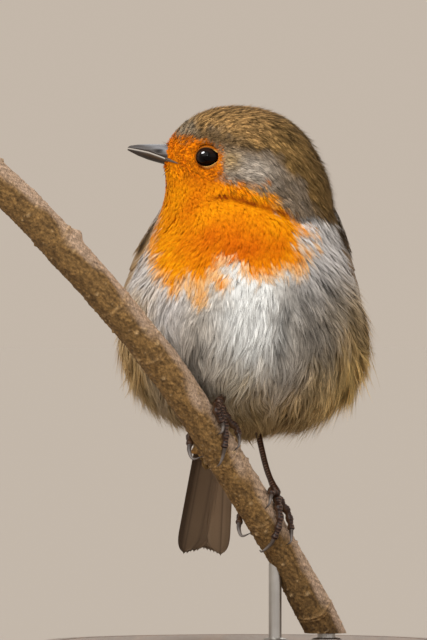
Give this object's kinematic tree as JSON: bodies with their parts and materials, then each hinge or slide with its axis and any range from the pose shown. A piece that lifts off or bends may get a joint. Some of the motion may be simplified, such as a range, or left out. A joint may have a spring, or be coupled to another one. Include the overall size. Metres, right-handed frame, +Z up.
{
  "type": "european robin",
  "caption": "Life-size European robin, fluffed up with its head turned aside, gripping a slanting cut branch held by two short rods on a round flat base.",
  "frame": {"origin": "centre of the stand base's underside, which rests on the floor", "axes": "+Z up; the bird's breast faces -Y and its bill points along -X, so +X is the bird's own left"},
  "size_m": [0.1283, 0.1206, 0.1518],
  "materials": {
    "olive": "olive-brown contour feathers of crown, nape and back, matt",
    "breast_orange": "orange face and breast feathers, matt, dense",
    "belly_white": "white to grey loose belly feathers, matt",
    "flank_buff": "buff and grey loose flank and vent feathers, matt",
    "wing_brown": "dark brown flight feathers with paler olive edges, satin",
    "bill_horn": "dark horn with a grey sheen",
    "eye_gloss": "near-black, wet gloss",
    "leg_brown": "dark reddish-brown scutes, satin",
    "claw_horn": "grey-brown horn, glossy",
    "bark": "thin brown twig bark with pale lenticels, matt",
    "stand_wood": "dark stained wood, satin",
    "stand_rod": "brushed steel"
  },
  "bodies": {
    "root": {"back": "olive", "belly": "belly_white", "breast": "breast_orange", "head": "olive", "left_claw_1": "claw_horn", "left_claw_2": "claw_horn", "left_claw_3": "claw_horn", "left_claw_4": "claw_horn", "left_eye": "eye_gloss", "left_tarsus": "leg_brown", "left_toe_1": "leg_brown", "left_toe_2": "leg_brown", "left_toe_3": "leg_brown", "left_toe_4": "leg_brown", "left_wing_coverts": "olive", "left_wing_primaries": "wing_brown", "left_wing_secondaries": "wing_brown", "lower_mandible": "bill_horn", "neck": "breast_orange", "perch": "bark", "right_claw_1": "claw_horn", "right_claw_2": "claw_horn", "right_claw_3": "claw_horn", "right_claw_4": "claw_horn", "right_eye": "eye_gloss", "right_tarsus": "leg_brown", "right_toe_1": "leg_brown", "right_toe_2": "leg_brown", "right_toe_3": "leg_brown", "right_toe_4": "leg_brown", "right_wing_coverts": "olive", "right_wing_primaries": "wing_brown", "right_wing_secondaries": "wing_brown", "rump": "flank_buff", "stand_base": "stand_wood", "stand_rod_end": "stand_rod", "stand_rod_prop": "stand_rod", "tail": "wing_brown", "tail_coverts": "flank_buff", "upper_mandible": "bill_horn"}
  },
  "joints": []
}
